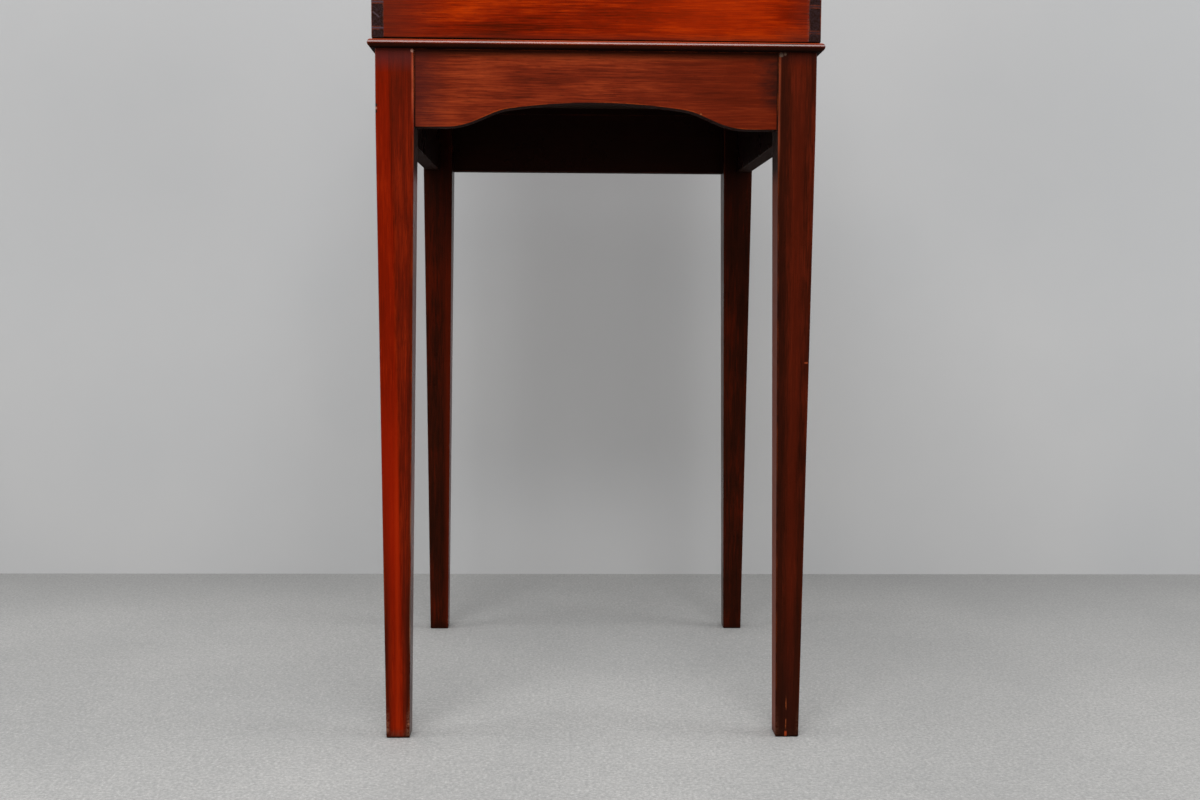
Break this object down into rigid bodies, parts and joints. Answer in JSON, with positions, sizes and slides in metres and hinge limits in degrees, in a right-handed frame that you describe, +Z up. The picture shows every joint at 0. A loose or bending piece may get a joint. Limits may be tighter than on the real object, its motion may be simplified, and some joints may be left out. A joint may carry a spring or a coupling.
{
  "type": "standing desk",
  "caption": "Standing-height writing desk: dovetailed box with a sloping hinged lid, inner drawers and pigeonholes, on a stand with square tapered legs and an arched apron.",
  "frame": {"origin": "on the floor, at the middle of the overall footprint", "axes": "+Z up, the front faces -Y, +X to the right as seen from the front"},
  "size_m": [0.6064, 0.6692, 1.2389],
  "materials": {
    "mahogany": "French-polished red mahogany, glossy, worn at the arrises",
    "dark_mahogany": "darker polished mahogany",
    "plain_wood": "dry unpolished wood",
    "brass": "dull aged brass",
    "steel": "dull old steel"
  },
  "bodies": {
    "desk": {"leg_front_left": "mahogany", "leg_front_right": "mahogany", "leg_back_left": "mahogany", "leg_back_right": "mahogany", "front_apron": "mahogany", "back_rail": "mahogany", "side_rail_left": "mahogany", "side_rail_right": "mahogany", "moulding_front": "mahogany", "moulding_left": "mahogany", "moulding_right": "mahogany", "back_fillet": "dark_mahogany", "glue_blocks": "dark_mahogany", "stay_screws": "steel", "box_front": "mahogany", "box_back": "mahogany", "box_side_left": "dark_mahogany", "box_side_right": "dark_mahogany", "box_bottom": "plain_wood", "top_ledge": "mahogany", "upright_left": "plain_wood", "upright_right": "plain_wood", "lower_shelf": "plain_wood", "upper_shelf": "plain_wood", "hinge_left_fixed_leaf": "brass", "hinge_left_pin": "brass", "hinge_right_fixed_leaf": "brass", "hinge_right_pin": "brass", "hinge_screws_ledge": "brass", "lock_case": "brass", "lock_screws": "brass", "escutcheon": "brass"},
    "lid": {"lid_panel": "mahogany", "lid_cleat_left": "mahogany", "lid_cleat_right": "mahogany", "book_rest": "mahogany", "hinge_left_lid_leaf": "brass", "hinge_right_lid_leaf": "brass", "hinge_screws_lid": "brass", "strike_plate": "brass", "strike_screws": "brass"},
    "drawer_left": {"drawer_left_front": "mahogany", "drawer_left_side_l": "plain_wood", "drawer_left_side_r": "plain_wood", "drawer_left_back": "plain_wood", "drawer_left_bottom": "plain_wood", "drawer_left_knob": "brass"},
    "drawer_right": {"drawer_right_front": "mahogany", "drawer_right_side_l": "plain_wood", "drawer_right_side_r": "plain_wood", "drawer_right_back": "plain_wood", "drawer_right_bottom": "plain_wood", "drawer_right_knob": "brass"},
    "bolt": {"lock_bolt": "steel"}
  },
  "joints": [
    {"name": "lid_hinge", "type": "hinge", "parent": "desk", "child": "lid", "pos_m": [0, 0.2012, 1.23592], "axis": [-1, 0, 0], "range_deg": [0, 110]},
    {"name": "drawer_left_slide", "type": "slide", "parent": "desk", "child": "drawer_left", "axis": [0, -1, 0], "range_m": [0, 0.085]},
    {"name": "drawer_right_slide", "type": "slide", "parent": "desk", "child": "drawer_right", "axis": [0, -1, 0], "range_m": [0, 0.085]},
    {"name": "lock_bolt_slide", "type": "slide", "parent": "desk", "child": "bolt", "axis": [1, 0, 0], "range_m": [0, 0.007]}
  ]
}
